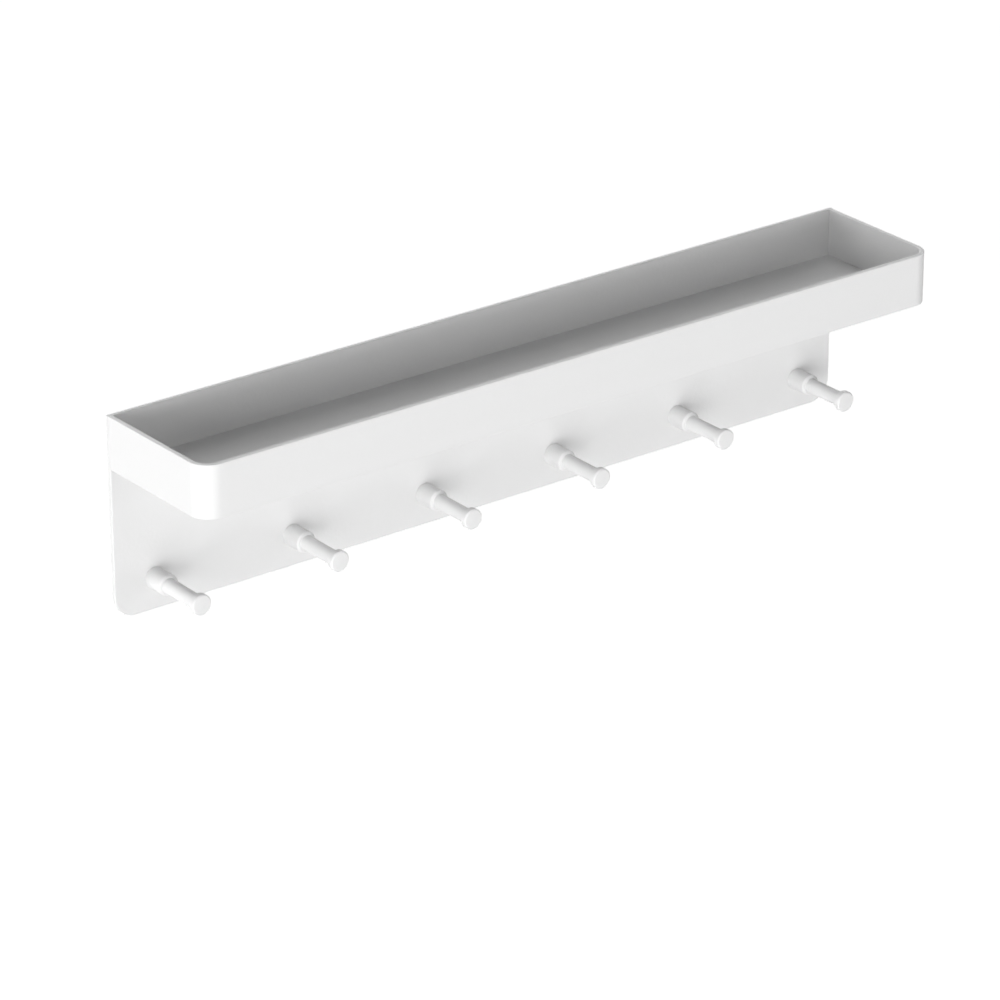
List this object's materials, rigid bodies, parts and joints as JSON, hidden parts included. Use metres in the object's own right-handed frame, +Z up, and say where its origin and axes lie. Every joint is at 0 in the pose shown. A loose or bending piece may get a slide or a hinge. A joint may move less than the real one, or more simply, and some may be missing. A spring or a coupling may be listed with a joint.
{
  "type": "wall key holder",
  "caption": "Wall key holder: a flat white metal back plate with a shallow tray along its top edge and a row of flared pegs below it for hanging keys.",
  "frame": {"origin": "on the back plate's back face, midway between the two wall screw holes", "axes": "+X along the wall to the right as a person in front of it sees it, +Y into the wall, +Z up; the pegs point along -Y"},
  "size_m": [0.265, 0.0472, 0.0628],
  "materials": {
    "plate_coat": "white powder coat, satin, on sheet steel",
    "tray_coat": "white powder coat, satin, on sheet steel",
    "peg_coat": "white powder coat, semi-gloss, on turned steel",
    "screw_zinc": "bright zinc plate"
  },
  "bodies": {
    "root": {"back_plate": "plate_coat", "tray_band": "tray_coat", "tray_floor": "tray_coat", "peg_1": "peg_coat", "peg_2": "peg_coat", "peg_3": "peg_coat", "peg_4": "peg_coat", "peg_5": "peg_coat", "peg_6": "peg_coat", "peg_screw_1": "screw_zinc", "peg_screw_2": "screw_zinc", "peg_screw_3": "screw_zinc", "peg_screw_4": "screw_zinc", "peg_screw_5": "screw_zinc", "peg_screw_6": "screw_zinc"}
  },
  "joints": []
}
